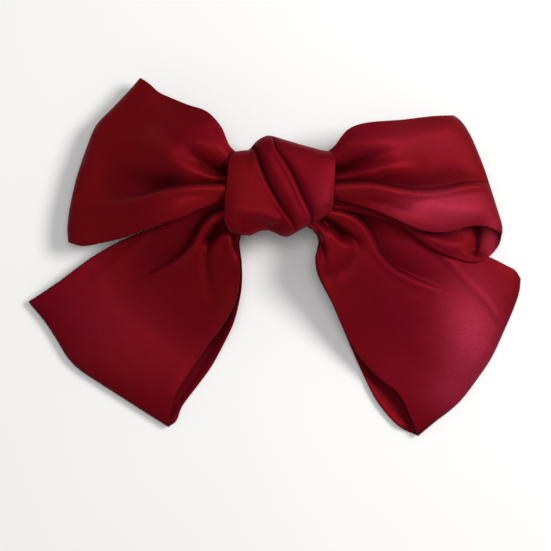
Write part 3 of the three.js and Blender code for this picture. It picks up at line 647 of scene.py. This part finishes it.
tailRightFolds = [
    lap([(20, 19.0), (28, 17.0), (33, 14.4), (36.4, 10.8), (38.9, 6.4), (41.2, 1.4), (46, -3.6), (54, -8.1),
         (62, -11.0)], 8.6, (3.4, 5.0), (0.75, 0.12), 2.2, 0.24, 0.055),
    ridge([(46, 14.6), (54, 10.4), (59, 6.4), (64, 2.4), (70, -2.6), (76, -9.6), (84, -17.6), (90, -26.6)],
          0.75, (0.9, 0.9), (1, 0.45)),
    valley([(17.6, 14.8), (23, 11.8), (26.6, 7.6)], 7.6, (1.5, 1.9), (1.2, 0.4)),
    valley([(27, 10), (31.2, 6.4), (31.0, 1.2), (27.6, -3.6), (21, -7)], 2.8, (1.5, 2.6), (1, 0.35)),
    valley([(16.6, 7.6), (18.6, 3.8), (18.6, -1)], 4.0, (1.0, 1.2), (1.2, 0.2)),
    valley([(32, -12), (44, -27), (54, -42)], 0.6, (6, 8), (0.8, 0.8)),
    ridge([(62, -16), (74, -28), (80, -42)], 0.9, (7, 9), (0.5, 1)),
]
upperLeftUnder = []
upperRightUnder = [
    valley([(80.4, 15.6), (80.8, 9.4), (80.5, 4.4), (79.8, 1.4)], 1.6, (1.5, 0.8), (1.3, 0.6), 0.35),
    ridge([(52, 13), (60, 8.6), (68, 5.6), (74, 5.4)], 1.2, (2.0, 3.0), (0.8, 1)),
]
tailLeftUnder = [
    ridge([(-14.6, -17), (-17.4, -26), (-25.2, -41.6), (-36.6, -58), (-40.6, -65)], 0.9, (1.5, 1.5)),
]
tailRightUnder = [
    ridge([(22, -17), (28, -30), (35.6, -47), (41, -57), (49.6, -67)], 1.5, (2.0, 2.4)),
]


def patch(top, low, bend, s, t, steps=400):
    # fills the plan between two rims and a bend; s runs from the knot to the bend, t from low to top
    topLine = smoothLine(top, steps)
    lowLine = smoothLine(low, steps)
    bendLine = smoothLine(bend, steps)
    evenly = np.linspace(0, 1, steps + 1)

    def pick(line, share):
        return np.stack([np.interp(share, evenly, line[:, k]) for k in (0, 1)], axis=-1)

    onTop = pick(topLine, s)[:, None, :]
    onLow = pick(lowLine, s)[:, None, :]
    onBend = pick(bendLine, t)[None, :, :]
    neckLow, neckTop = lowLine[0], topLine[0]
    onNeck = (neckLow + (neckTop - neckLow) * t[:, None])[None, :, :]
    across, along = t[None, :, None], s[:, None, None]
    ruled = onLow + (onTop - onLow) * across + onNeck + (onBend - onNeck) * along
    cornerLow = neckLow + (lowLine[-1] - neckLow) * along
    cornerTop = neckTop + (topLine[-1] - neckTop) * along
    return ruled - (cornerLow + (cornerTop - cornerLow) * across)


def softMaximum(first, second, blend):
    return (first + second + np.sqrt((first - second) ** 2 + blend ** 2)) / 2 - blend / 4


def plyHeights(s, t, lie, size, front):
    # the height of a ply before its folds: pinched in the knot, full in the middle, and round at the bend
    fullness = smoothstep(size["fullFrom"], size["fullTo"], s)
    crown = 1 - size["crownDip"] * np.abs(2 * t - 1) ** 3
    apart = mixValues(size["neckSeparation"], lie["belly"], fullness)
    apart = apart * np.sqrt(np.maximum(0, 1 - s ** lie["bendPower"]))
    lying = softMaximum(lie["endHeight"], apart + size["halfPly"], size["restBlend"])
    middle = mixValues(size["neckHeight"], lying, smoothstep(lie["droopFrom"], lie["droopTo"], s))
    if front:
        return middle[:, None] + apart[:, None] * crown[None, :]
    return middle[:, None] - apart[:, None]


def lobeGrid(lobe, folds, underFolds, lie, size, seed):
    # one lobe, from the knot along the front ply, round the bend and back along the back ply
    t = np.linspace(0, 1, size["acrossSteps"] + 1)
    sFront = np.sin(np.linspace(0, 1, size["frontSteps"] + 1) * math.pi / 2)
    sBack = np.sin(np.linspace(0, 1, size["backSteps"] + 1) * math.pi / 2)[:-1][::-1]
    front = patch(lobe["frontTop"], lobe["frontLow"], lobe["bend"], sFront, t)
    back = patch(lobe["backTop"], lobe["backLow"], lobe["bend"], sBack, t)
    frontZ = plyHeights(sFront, t, lie, size, True)
    backZ = plyHeights(sBack, t, lie, size, False)
    draw = np.random.default_rng(seed)
    phase = draw.uniform(0, 2 * math.pi, 3)

    def gathers(s, turn):
        # pleats that fan out of the knot and die away along the ply
        wave = np.cos(2 * math.pi * lie["pleats"] * t + phase[0] + turn)
        fine = np.cos(2 * math.pi * (lie["pleats"] * size["finePleats"]) * t + phase[1] + turn)
        wave = wave + size["fineShare"] * fine
        near = np.exp(-np.maximum(s - size["pleatsFrom"], 0) * size["pleatFade"])
        return lie["pleatLift"] * near[:, None] * wave[None, :]

    lift, dark = foldHeight(folds, front[:, :, 0], front[:, :, 1])
    calm = 1 - smoothstep(size["foldsEnd"], 1.0, sFront)  # the folds end before the bend
    lift = lift * calm[:, None]
    lift = softened(lift + gathers(sFront, 0.0), 2)
    backLift = -lie["underLift"] * gathers(sBack, size["backTurn"])
    backWave = -size["backWaveLift"] * np.cos(2 * math.pi * size["backWaves"] * t + phase[2])
    midway = smoothstep(0.15, 0.4, sBack) * (1 - smoothstep(0.5, 0.85, sBack))
    backLift += backWave[None, :] * midway[:, None]
    underLift, underDark = foldHeight(underFolds, back[:, :, 0], back[:, :, 1])
    backLift += underLift * (1 - smoothstep(size["underFoldsEnd"], 1.0, sBack))[:, None]
    points = np.concatenate([
        np.dstack([front, frontZ + lift]),
        np.dstack([back, backZ + backLift]),
    ])
    # painted shade where the cloth turns under at the bend
    paintedTuckShade = (size["tuckShade"] * smoothstep(size["tuckFront"], 1.0, sFront))[:, None]
    paintedTuckShadeBack = (size["tuckShade"] * smoothstep(size["tuckBack"], 1.0, sBack))[:, None]
    # painted shade and highlight: raised cloth lighter, valleys and creases darker, and the back ply's inner
    # face darker with painted shade under the front ply
    fold = np.concatenate([
        0.5 + 0.1 * lift - paintedTuckShade - dark,
        lie["underShade"] + 0.05 * backLift + 0.14 * underLift - underDark,
    ])
    paintedSheen = [paintedSheenAt(lobe["blooms"], grid[:, :, 0], grid[:, :, 1]) for grid in (front, back)]
    outer = fold.copy()  # the outer face of the back ply lies in the open: it gets the open-face tone, not the painted shade of the inner face, with painted tuck shade at the bend
    outer[len(front):] = 0.5 + 0.06 * backLift - paintedTuckShadeBack
    return points, np.clip(outer, 0, 1), np.clip(fold, 0, 1), np.concatenate(paintedSheen)


def ringGrid(left, right, lie, size, seed):
    # the left lobe from the front of the knot to its back, then the right lobe the other way round
    onLeft = lobeGrid(*left, lie, size, seed)
    onRight = lobeGrid(*right, lie, size, seed + 1)
    return [np.concatenate([a, b[::-1][1:-1]]) for a, b in zip(onLeft, onRight)]


def heightsUnder(points, x, y):
    # the highest surface of a grid of points at each place, or nothing where it isn't
    rows, columns = points.shape[:2]
    index = np.arange(rows * columns).reshape(rows, columns)
    quads = [index[:-1, :-1], index[1:, :-1], index[1:, 1:], index[:-1, 1:]]
    quads = np.stack(quads, axis=2).reshape(-1, 4)
    places = [tuple(p) for p in points.reshape(-1, 3)]
    tree = BVHTree.FromPolygons(places, [tuple(int(k) for k in quad) for quad in quads])
    found = np.full(x.size, -1e3)
    for k, (px, py) in enumerate(zip(x.ravel(), y.ravel())):
        hit = tree.ray_cast(Vector((px, py, 90.0)), Vector((0, 0, -1)))
        if hit[0] is not None:
            found[k] = hit[0].z
    return found.reshape(x.shape)


tailPoints, *tailMarks = ringGrid((tailLeft, tailLeftFolds, tailLeftUnder),
                                  (tailRight, tailRightFolds, tailRightUnder), tailLie, bandSize, 11)
upperPoints, *upperMarks = ringGrid((upperLeft, upperLeftFolds, upperLeftUnder),
                                    (upperRight, upperRightFolds, upperRightUnder), upperLie, bandSize, 5)
clear = 2 * bandSize["halfPly"] + bandSize["restGap"]
lowest = bandSize["halfPly"] + bandSize["floorGap"]
tailPoints[:, :, 2] = np.maximum(tailPoints[:, :, 2], lowest)
# where a loop lies over a tail it rests on it
under = heightsUnder(tailPoints, upperPoints[:, :, 0], upperPoints[:, :, 1])
raised = np.maximum(upperPoints[:, :, 2], under + clear)
upperPoints[:, :, 2] = np.maximum(softened(raised, 2), lowest)
print("band shapes ready")

upperBand = closedStrip("upperLoops", upperPoints, *upperMarks, bandSize["halfPly"], burgundySatin)
tailBand = closedStrip("tails", tailPoints, *tailMarks, bandSize["halfPly"], burgundySatin)
print("bands made", len(upperBand.data.polygons), len(tailBand.data.polygons))


knotShape = {
    "top": [(-21, 40.6), (-17.2, 41.2), (-13.6, 41.6), (-11.6, 41.7), (-10.6, 42.7), (-10.1, 43.9),
            (-9.2, 45.1), (-7.8, 46.1), (-5.8, 46.9), (-3.6, 47.4), (-1.4, 47.3), (1.6, 46.7),
            (8.6, 44.8), (14.3, 42.9), (18, 41.8), (21.6, 41.3), (24.5, 40.6)],
    "low": [(-21, 10.6), (-18.6, 9.2), (-15.2, 8.5), (-10.3, 8.5), (-6.9, 9.4), (-3.4, 10.4), (-0.6, 10.6),
            (2.3, 9.8), (5.7, 8.4), (8.6, 7.9), (11.4, 8.6), (13.7, 10.0), (17.1, 12.6), (20.9, 15.4),
            (24.5, 18)],
    "left": [(8, -15.2), (10.4, -18.2), (14.4, -19.9), (22.4, -19.6), (30, -18.8), (38.4, -18), (42, -17.4),
             (49, -12)],
    "right": [(8, 14.5), (11, 17.2), (14.7, 20.8), (20.4, 22.5), (30, 23.1), (38.4, 23.6), (42, 22.6),
              (49, 12)],
    "alongSteps": 130, "aroundSteps": 230, "halfPly": 0.4, "power": 0.58, "sink": 1.7,
    "startX": -19.0, "endX": 23.2, "smoothings": 4, "endDip": 1.7, "dipPower": 5,
    "frontFrom": 0.05, "frontTo": 0.6,
    # spots of painted sheen on the knot
    "blooms": [(17.5, 22, 4, 8, 0.10)],
}
knotFolds = [
    lap([(-11.2, 46), (-9.2, 42.6), (-7.7, 40), (-6.3, 35.8), (-4.6, 31.3), (-1.1, 24.4), (2.3, 18.7),
         (5.1, 14.4), (7.0, 11.4)], 2.6, (2.0, 1.3), (1.4, 0.7), 1.4, 0.03, 0.17),
    ridge([(2.2, 19), (5.0, 14.6), (8.6, 10)], 0.5, (1.2, 1.2), (0.4, 1.4)),
    ridge([(-3, 40), (1, 33), (5.0, 26), (8.4, 19), (10.6, 13)], 0.9, (2.2, 3.2), (0.3, 1)),
    lap([(-1.6, 48), (-0.8, 43), (2.6, 38.0), (5.3, 33.5), (8.1, 27.8), (10.4, 22.7), (13.0, 17),
         (13.5, 10.1)], 2.0, (1.3, 1.8), (0.8, 1.2), 1.6, 0.3, 0.15),
    ridge([(17.4, 30), (18.4, 21), (18.2, 15)], 0.9, (4.4, 3.4), (0.3, 1)),
    ridge([(-15, 19), (-6, 17.4), (0, 15.0)], 0.9, (3, 1.6), (0.8, 1)),
    valley([(-12, 12.8), (-6, 13), (1, 11.8)], 0.8, (2.6, 2)),
]


def evenOval(power, aspect, steps, fineSteps=8000):
    # a rounded box section with its places evenly spaced round it
    angle = np.linspace(0, 2 * math.pi, fineSteps + 1)
    across = np.sign(np.cos(angle)) * np.abs(np.cos(angle)) ** power
    rise = np.sign(np.sin(angle)) * np.abs(np.sin(angle)) ** power
    reach = np.concatenate([[0], np.cumsum(np.hypot(np.diff(across) * aspect, np.diff(rise)))])
    even = np.linspace(0, reach[-1], steps, endpoint=False)
    return np.interp(even, reach, across), np.interp(even, reach, rise)


def knotGrid(shape, folds):
    u = np.linspace(0, 1, shape["alongSteps"] + 1)
    topX, topY = np.array(shape["top"]).T
    lowX, lowY = np.array(shape["low"]).T
    ply = shape["halfPly"]
    start = mixValues(shape["startX"], shape["endX"], u)
    top = np.interp(start, topX, topY) - ply
    low = np.interp(start, lowX, lowY) + ply
    kernel = np.array([1, 2, 1]) / 4
    for _ in range(shape["smoothings"]):
        top = np.convolve(np.pad(top, 1, mode="edge"), kernel, "valid")
        low = np.convolve(np.pad(low, 1, mode="edge"), kernel, "valid")
    zLow = knotLow.z / mm + ply
    zHigh = knotHigh.z / mm - ply
    aspect = (knotHigh.y - knotLow.y) / (knotHigh.z - knotLow.z)
    across, rise = evenOval(shape["power"], aspect, shape["aroundSteps"])
    middleY = (top + low) / 2
    y = middleY[None, :] + across[:, None] * ((top - low) / 2)[None, :]
    leftY, leftX = np.array(shape["left"]).T
    rightY, rightX = np.array(shape["right"]).T
    x = mixValues(np.interp(y, leftY, leftX) + ply, np.interp(y, rightY, rightX) - ply, u[None, :])
    halfDepth = (zHigh - zLow) / 2 - shape["endDip"] * np.abs(2 * u - 1) ** shape["dipPower"]
    z = (zHigh + zLow) / 2 + rise[:, None] * halfDepth[None, :]
    front = smoothstep(shape["frontFrom"], shape["frontTo"], rise)[:, None]
    lift, dark = foldHeight(folds, x, y)
    lift = np.where(rise[:, None] > 0, lift, 0) * front
    lift = softened(lift, 1)
    points = np.dstack([x, y, z + lift - shape["sink"] * front])
    # painted shade and highlight on the knot: raised cloth lighter, creases darker
    fold = np.clip(0.5 + 0.1 * lift - dark * front, 0, 1)
    return points, fold, fold, paintedSheenAt(shape["blooms"], x, y)


knotWrap = closedStrip("knotWrap", *knotGrid(knotShape, knotFolds), knotShape["halfPly"], burgundySatin)
print("knot made", len(knotWrap.data.polygons))


def nodeTree(name, inputs):
    tree = bpy.data.node_groups.new(name, "GeometryNodeTree")
    tree.interface.new_socket("Geometry", in_out="INPUT", socket_type="NodeSocketGeometry")
    for label, kind in inputs:
        tree.interface.new_socket(label, in_out="INPUT", socket_type=kind)
    tree.interface.new_socket("Geometry", in_out="OUTPUT", socket_type="NodeSocketGeometry")
    return tree, tree.nodes.new("NodeGroupInput"), tree.nodes.new("NodeGroupOutput")


def windingTree():
    # a path of thread repeated side by side: each turn is swept round, then set one pitch further along X
    tree, start, end = nodeTree("threadWindings", [
        ("Turns", "NodeSocketInt"), ("Pitch", "NodeSocketFloat"), ("Thread Radius", "NodeSocketFloat"),
        ("Material", "NodeSocketMaterial")])
    link = tree.links.new
    curve = tree.nodes.new("GeometryNodeMeshToCurve")
    circle = tree.nodes.new("GeometryNodeCurvePrimitiveCircle")
    circle.inputs["Resolution"].default_value = 8
    sweep = tree.nodes.new("GeometryNodeCurveToMesh")
    line = tree.nodes.new("GeometryNodeMeshLine")
    offset = tree.nodes.new("ShaderNodeCombineXYZ")
    copies = tree.nodes.new("GeometryNodeInstanceOnPoints")
    real = tree.nodes.new("GeometryNodeRealizeInstances")
    paint = tree.nodes.new("GeometryNodeSetMaterial")
    link(start.outputs["Geometry"], curve.inputs["Mesh"])
    link(start.outputs["Thread Radius"], circle.inputs["Radius"])
    link(curve.outputs["Curve"], sweep.inputs["Curve"])
    link(circle.outputs["Curve"], sweep.inputs["Profile Curve"])
    link(start.outputs["Turns"], line.inputs["Count"])
    link(start.outputs["Pitch"], offset.inputs["X"])
    link(offset.outputs["Vector"], line.inputs["Offset"])
    link(line.outputs["Mesh"], copies.inputs["Points"])
    link(sweep.outputs["Mesh"], copies.inputs["Instance"])
    link(copies.outputs["Instances"], real.inputs["Geometry"])
    link(real.outputs["Geometry"], paint.inputs["Geometry"])
    link(start.outputs["Material"], paint.inputs["Material"])
    link(paint.outputs["Geometry"], end.inputs["Geometry"])
    return tree


def settled(piece, tree, values):
    # runs a tree on a piece with these inputs and keeps the result as a plain mesh
    modifier = piece.modifiers.new("work", "NODES")
    modifier.node_group = tree
    for item in tree.interface.items_tree:
        if item.item_type == "SOCKET" and item.in_out == "INPUT" and item.name in values:
            modifier[item.identifier] = values[item.name]
    graph = bpy.context.evaluated_depsgraph_get()
    mesh = bpy.data.meshes.new_from_object(piece.evaluated_get(graph))
    mesh.name = piece.name
    piece.modifiers.remove(modifier)
    piece.data = mesh
    mesh.polygons.foreach_set("use_smooth", np.ones(len(mesh.polygons), bool))
    outwards(piece)
    return piece


def closedPath(name, points):
    mesh = bpy.data.meshes.new(name)
    count = len(points)
    mesh.from_pydata([tuple(p) for p in points], [(i, (i + 1) % count) for i in range(count)], [])
    piece = bpy.data.objects.new(name, mesh)
    bpy.context.scene.collection.objects.link(piece)
    return piece


bindingSetup = {"threadRadius": 0.00026, "pitch": 0.00054, "cornerPower": 0.5, "pathSteps": 48}
stitchSetup = {"strandRadius": 0.00016, "twists": 7, "pathSteps": 96, "sides": 8, "squareness": 1.5}


def makeBinding(setup):
    low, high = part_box("centre_binding")
    centre = (low + high) / 2
    half = (high - low) / 2
    reach = setup["threadRadius"]
    points = []
    for i in range(setup["pathSteps"]):
        a = 2 * math.pi * i / setup["pathSteps"]
        c, s = math.cos(a), math.sin(a)
        y = math.copysign(abs(c) ** setup["cornerPower"], c) * (half.y - reach)
        z = math.copysign(abs(s) ** setup["cornerPower"], s) * (half.z - reach)
        points.append((low.x + reach, centre.y + y, centre.z + z))
    turns = int((high.x - low.x - 2 * reach) / setup["pitch"]) + 1
    binding = closedPath("threadBinding", points)
    return settled(binding, windingTree(), {"Turns": turns, "Pitch": setup["pitch"], "Thread Radius": reach,
                                            "Material": burgundyThread})


def makeStitch(node, setup):
    # two strands twisted round the path of the stitch
    low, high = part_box(node)
    centre = (low + high) / 2
    radius = (high.x - low.x) / 2
    halfY = (high.y - low.y) / 2 - radius
    halfZ = (high.z - low.z) / 2 - radius
    steps = setup["pathSteps"]
    sides = setup["sides"]
    points = []
    faces = []

    def clipped(value):
        return max(-1.0, min(1.0, setup["squareness"] * value))

    def onPath(i):
        a = 2 * math.pi * i / steps
        y = centre.y + clipped(math.cos(a)) * halfY
        z = centre.z + clipped(math.sin(a)) * halfZ
        return Vector((centre.x, y, z))

    for strand in range(2):
        base = len(points)
        for i in range(steps):
            along = (onPath(i + 1) - onPath(i - 1)).normalized()
            side = Vector((1, 0, 0))
            up = along.cross(side).normalized()
            turn = 2 * math.pi * setup["twists"] * i / steps + strand * math.pi
            out = radius - setup["strandRadius"]
            middle = onPath(i) + (side * math.cos(turn) + up * math.sin(turn)) * out
            for k in range(sides):
                b = 2 * math.pi * k / sides
                points.append(middle + (side * math.cos(b) + up * math.sin(b)) * setup["strandRadius"])
        for i in range(steps):
            for k in range(sides):
                a, b = base + i * sides + k, base + i * sides + (k + 1) % sides
                c = base + ((i + 1) % steps) * sides + (k + 1) % sides
                d = base + ((i + 1) % steps) * sides + k
                faces.append((a, b, c, d))
    stitch = meshFrom(node.replace("clip_stitch", "backStitch"), points, faces, burgundyThread)
    outwards(stitch)
    return stitch


edgeSetup = {"merge": 1e-6, "flatWithin": 1.0, "easeAbove": 32, "sharpAbove": 38}  # angles in degrees


def refinedCopy(node, name, width, material, segments=2):
    # a merged copy of a CAD node with its flat faces joined up and its edges eased
    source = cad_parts[node]
    mesh = source.data.copy()
    mesh.name = name
    mesh.materials.clear()
    mesh.materials.append(material)
    piece = bpy.data.objects.new(name, mesh)
    bpy.context.scene.collection.objects.link(piece)
    work = bmesh.new()
    work.from_mesh(mesh)
    bmesh.ops.remove_doubles(work, verts=work.verts, dist=edgeSetup["merge"])
    flat = math.radians(edgeSetup["flatWithin"])
    bmesh.ops.dissolve_limit(work, angle_limit=flat, verts=work.verts, edges=work.edges)
    work.to_mesh(mesh)
    work.free()
    bevel = piece.modifiers.new("easedEdges", "BEVEL")
    bevel.width = width
    bevel.segments = segments
    bevel.limit_method = "ANGLE"
    bevel.angle_limit = math.radians(edgeSetup["easeAbove"])
    bevel.harden_normals = False
    graph = bpy.context.evaluated_depsgraph_get()
    made = bpy.data.meshes.new_from_object(piece.evaluated_get(graph))
    piece.modifiers.remove(bevel)
    piece.data = made
    made.name = name
    made.polygons.foreach_set("use_smooth", np.ones(len(made.polygons), bool))
    made.set_sharp_from_angle(angle=math.radians(edgeSetup["sharpAbove"]))
    return piece


threadBinding = makeBinding(bindingSetup)
stitches = {node: makeStitch(node, stitchSetup) for node in (f"clip_stitch_{i}" for i in range(1, 7))}
print("thread wound and sewn")

metalPieces = [
    ("base_plate", "plateSteel", 0.00012, nickelPlate, "bow", "plated_steel"),
    ("clasp_arm", "clampArm", 0.00012, nickelPlate, "arm", "plated_steel"),
    ("hinge_pin", "pinRivet", 0.00008, springSteel, "bow", "spring_steel"),
    ("spring_leaf", "tensionLeaf", 0.00006, springSteel, "leaf", "spring_steel"),
    ("catch_bracket", "catchFoot", 0.00008, nickelPlate, "bow", "plated_steel"),
    ("catch_rivet", "catchRivetHead", 0.00008, springSteel, "bow", "spring_steel"),
    ("catch_prong_upper", "prongUpper", 0.00008, springSteel, "prong_upper", "spring_steel"),
    ("catch_prong_lower", "prongLower", 0.00008, springSteel, "prong_lower", "spring_steel"),
]
for node, name, width, material, body, slotName in metalPieces:
    metal = refinedCopy(node, name, width, material)
    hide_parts(node)
    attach(metal, body)
feltPad = refinedCopy("felt_backing", "feltPad", 0.00028, wineFelt, 3)
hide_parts("felt_backing")
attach(feltPad, "bow")
print("metal and felt finished")

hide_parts("upper_loop_band")
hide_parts("tail_band")
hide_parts("knot_wrap")
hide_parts("centre_binding")
for piece in (upperBand, tailBand, knotWrap, threadBinding):
    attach(piece, "bow")
for node, stitch in stitches.items():
    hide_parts(node)
    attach(stitch, "bow")
